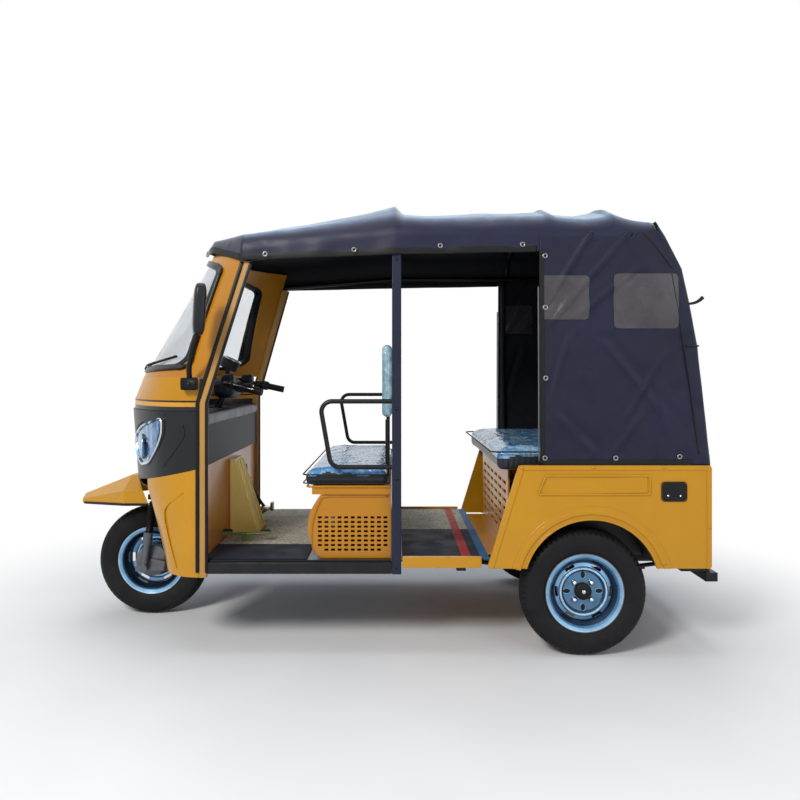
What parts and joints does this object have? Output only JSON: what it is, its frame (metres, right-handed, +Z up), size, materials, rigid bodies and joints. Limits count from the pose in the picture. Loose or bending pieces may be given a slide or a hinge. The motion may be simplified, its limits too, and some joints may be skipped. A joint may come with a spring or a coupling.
{
  "type": "auto rickshaw",
  "caption": "Three-wheeled auto rickshaw with steered front fork, raked windscreen, driver's bench, rear passenger tub, cloth canopy and a hinged tailgate.",
  "frame": {"origin": "on the ground below the middle of the overall box", "axes": "+X towards the rear of the vehicle, +Y to the vehicle's right side, +Z up; the nose points to -X"},
  "size_m": [2.98, 1.536, 1.9778],
  "materials": {
    "tyre": "worn black tread",
    "wheel_paint": "silver enamel with a blue cast",
    "frame_black": "black enamel",
    "damper_steel": "grey enamel",
    "bright_steel": "bright plated steel",
    "grip_rubber": "ribbed black rubber",
    "engine_metal": "dark cast metal",
    "body_yellow": "gold yellow enamel",
    "mat_rubber": "ribbed dark mat",
    "dark_plastic": "dark grey moulding",
    "lamp_rim": "bright rim",
    "lamp_lens": "clear moulded lens",
    "seal_rubber": "black rubber seal",
    "clear_glass": "clear bowed glass",
    "control_metal": "green grey enamel",
    "seat_vinyl": "dark vinyl under clear blue film",
    "canopy_cloth": "coated navy black cloth",
    "clear_film": "clear soft sheet",
    "tail_lens": "red moulded lens"
  },
  "bodies": {
    "chassis": {"chassis_rails": "frame_black", "crossmembers": "frame_black", "leaf_springs": "frame_black", "rear_axle": "frame_black", "propeller_shaft": "frame_black", "engine": "engine_metal", "floor_pan": "body_yellow", "floor_mats": "mat_rubber", "front_sills": "frame_black", "rear_sills": "body_yellow", "front_frame": "frame_black", "wheel_well": "frame_black", "nose_cheeks": "body_yellow", "nose_mask": "dark_plastic", "cowl": "body_yellow", "headlamp_bezels": "lamp_rim", "headlamp_lenses": "lamp_lens", "front_mudguard": "body_yellow", "windscreen_frame": "body_yellow", "windscreen_seal": "seal_rubber", "windscreen_glass": "clear_glass", "door_posts": "body_yellow", "mirrors": "dark_plastic", "dash": "dark_plastic", "inner_apron": "body_yellow", "foot_controls": "control_metal", "driver_seat_box": "body_yellow", "driver_cushion": "seat_vinyl", "driver_backrest": "seat_vinyl", "b_pillars": "frame_black", "grab_rails": "frame_black", "canopy_roof": "canopy_cloth", "rear_cover": "canopy_cloth", "cover_windows": "clear_film", "roof_frame": "frame_black", "roof_bows": "frame_black", "tub_side_left": "body_yellow", "tub_side_right": "body_yellow", "wheel_housings": "body_yellow", "rear_frame": "body_yellow", "tail_lamps": "tail_lens", "passenger_bench": "body_yellow", "passenger_cushion": "seat_vinyl", "passenger_backrest": "seat_vinyl", "rear_bumper": "frame_black", "tow_lug": "frame_black"},
    "fork": {"fork": "frame_black", "leading_links": "frame_black", "front_dampers": "damper_steel", "handlebar": "bright_steel", "grips": "grip_rubber"},
    "front_wheel": {"front_tyre": "tyre", "front_rim": "wheel_paint"},
    "rear_wheel_left": {"rear_tyre_left": "tyre", "rear_rim_left": "wheel_paint"},
    "rear_wheel_right": {"rear_tyre_right": "tyre", "rear_rim_right": "wheel_paint"},
    "tailgate": {"tailgate": "body_yellow"}
  },
  "joints": [
    {"name": "steering", "type": "hinge", "parent": "chassis", "child": "fork", "pos_m": [-0.79, 0, 1.15], "axis": [0.4226, 0, 0.9063], "range_deg": [-35, 35]},
    {"name": "front_wheel_spin", "type": "hinge", "parent": "fork", "child": "front_wheel", "pos_m": [-1.161, 0, 0.273], "axis": [0, 1, 0], "continuous": true},
    {"name": "rear_left_spin", "type": "hinge", "parent": "chassis", "child": "rear_wheel_left", "pos_m": [0.873, -0.555, 0.273], "axis": [0, 1, 0], "continuous": true},
    {"name": "rear_right_spin", "type": "hinge", "parent": "chassis", "child": "rear_wheel_right", "pos_m": [0.873, 0.555, 0.273], "axis": [0, 1, 0], "continuous": true},
    {"name": "tailgate_hinge", "type": "hinge", "parent": "chassis", "child": "tailgate", "pos_m": [1.415, -0.462, 0.6], "axis": [0, 0, -1], "range_deg": [0, 100]}
  ]
}
